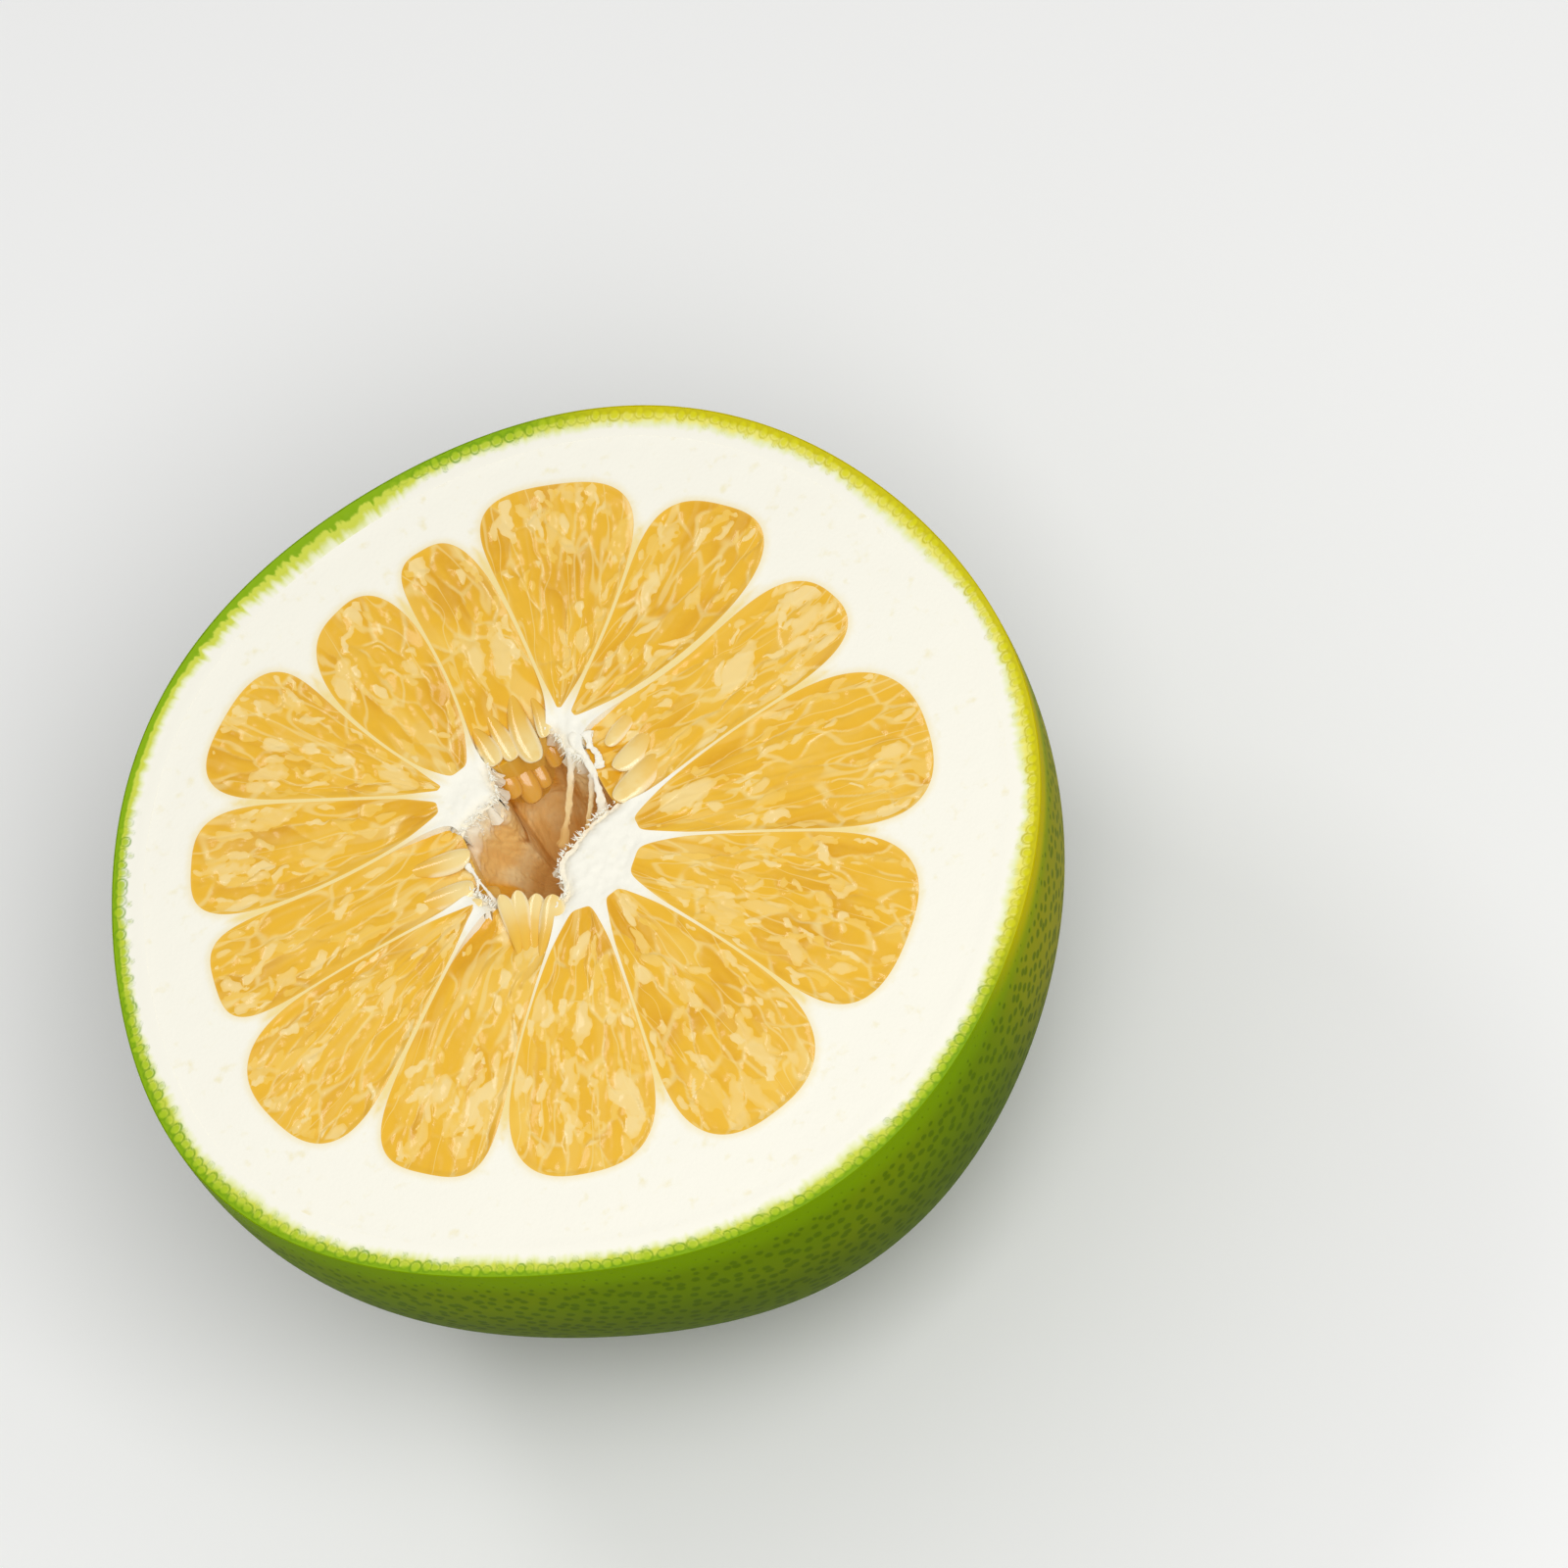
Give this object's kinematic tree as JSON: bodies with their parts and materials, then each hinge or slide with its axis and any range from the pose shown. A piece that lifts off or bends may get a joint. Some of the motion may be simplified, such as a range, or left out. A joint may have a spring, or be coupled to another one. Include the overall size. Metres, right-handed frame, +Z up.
{
  "type": "halved pomelo",
  "caption": "Half of a pomelo lying cut face up on its green rind, with thick white pith, golden wedge segments and a torn hollow core.",
  "frame": {"origin": "middle of the flat spot on the rind that the half rests on", "axes": "+Z up along the fruit's axis, out of the cut face; +X and +Y across the cut face"},
  "size_m": [0.146, 0.1466, 0.0755],
  "materials": {
    "skin": "waxy green rind with oil gland dimples",
    "pith": "dry, spongy white pith",
    "pulp": "wet golden pulp of cut juice sacs"
  },
  "bodies": {
    "root": {"skin": "skin", "pith": "pith", "segment_01": "pulp", "segment_02": "pulp", "segment_03": "pulp", "segment_04": "pulp", "segment_05": "pulp", "segment_06": "pulp", "segment_07": "pulp", "segment_08": "pulp", "segment_09": "pulp", "segment_10": "pulp", "segment_11": "pulp", "segment_12": "pulp", "segment_13": "pulp", "segment_14": "pulp"}
  },
  "joints": []
}
